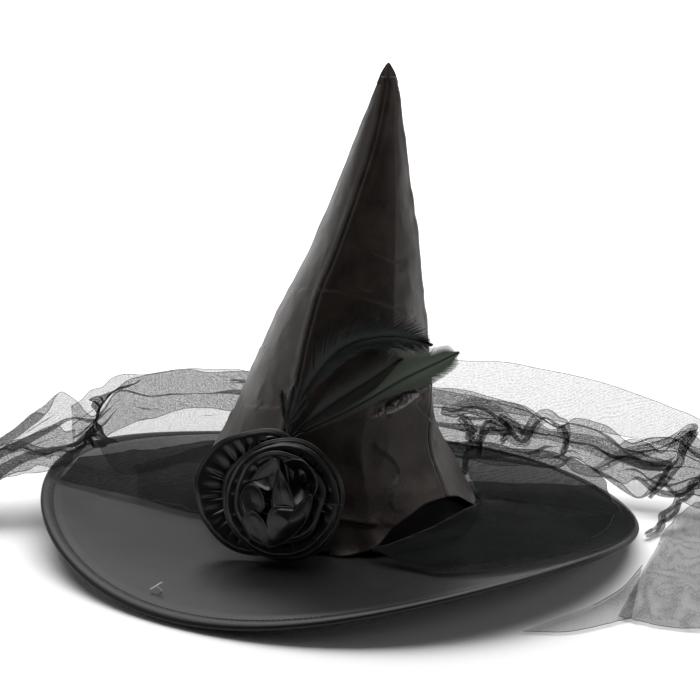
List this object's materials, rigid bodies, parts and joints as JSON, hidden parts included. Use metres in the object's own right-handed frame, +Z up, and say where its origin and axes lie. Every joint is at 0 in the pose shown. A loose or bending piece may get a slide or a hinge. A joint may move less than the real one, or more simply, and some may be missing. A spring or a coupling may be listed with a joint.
{
  "type": "witch hat",
  "caption": "Pointed costume hat with a wide wired brim, a tall soft crown of sewn gores, a net veil, and a ribbon rosette with feathers.",
  "frame": {"origin": "on the table, under the centre of the head opening", "axes": "+Z up, out of the head opening towards the crown's point; the rosette is at the front, towards -Y, and the feathers point towards +X"},
  "size_m": [0.5521, 0.3992, 0.316],
  "materials": {
    "brim_satin": "dull charcoal satin",
    "crown_satin": "soft brown-black satin",
    "ribbon_satin": "glossy black satin ribbon",
    "net": "fine black net",
    "board": "matt needled interlining",
    "stiffener": "matt woven stiffener",
    "steel_wire": "plain spring wire",
    "felt": "black felt",
    "feather_dark": "dark teal cock feather with a soft sheen",
    "feather_olive": "dark olive cock feather",
    "feather_silver": "silvery green cock feather",
    "nylon": "white nylon"
  },
  "bodies": {
    "brim": {"brim_core": "board", "brim_top_cloth": "brim_satin", "brim_under_cloth": "brim_satin", "crown_stiffener_lower": "stiffener", "feather_sleeve": "felt", "gore_back_lower": "crown_satin", "gore_front_lower": "crown_satin", "gore_left_lower": "crown_satin", "gore_right_lower": "crown_satin", "petal_1": "ribbon_satin", "petal_2": "ribbon_satin", "petal_3": "ribbon_satin", "petal_4": "ribbon_satin", "petal_5": "ribbon_satin", "petal_6": "ribbon_satin", "ribbon_fan_left": "ribbon_satin", "ribbon_loop_top": "ribbon_satin", "rim_binding": "brim_satin", "rim_wire": "steel_wire", "rosette_backing": "felt", "rosette_bud": "ribbon_satin", "rosette_stem": "felt", "ruffle_middle": "ribbon_satin", "ruffle_outer": "ribbon_satin", "sweatband": "ribbon_satin", "tag_fastener": "nylon", "veil_back": "net", "veil_band": "net", "veil_knot": "net", "veil_left": "net", "veil_right": "net"},
    "peak": {"crown_stiffener_upper": "stiffener", "gore_back_upper": "crown_satin", "gore_front_upper": "crown_satin", "gore_left_upper": "crown_satin", "gore_right_upper": "crown_satin", "peak_tip": "crown_satin"},
    "feathers": {"feather_dark_quill": "feather_dark", "feather_dark_vane": "feather_dark", "feather_olive_quill": "feather_olive", "feather_olive_vane": "feather_olive", "feather_silver_quill": "feather_silver", "feather_silver_vane": "feather_silver", "hackle_1": "feather_dark", "hackle_2": "feather_dark", "hackle_3": "feather_dark"}
  },
  "joints": [
    {"name": "peak_lean", "type": "hinge", "parent": "brim", "child": "peak", "pos_m": [0.0066, 0, 0.155], "axis": [0, 1, 0], "range_deg": [-25, 25]},
    {"name": "feather_sway", "type": "hinge", "parent": "brim", "child": "feathers", "pos_m": [-0.031, -0.0735, 0.091], "axis": [1, 0, 0], "range_deg": [0, 15], "stiffness_Nm_per_rad": 0.05}
  ]
}
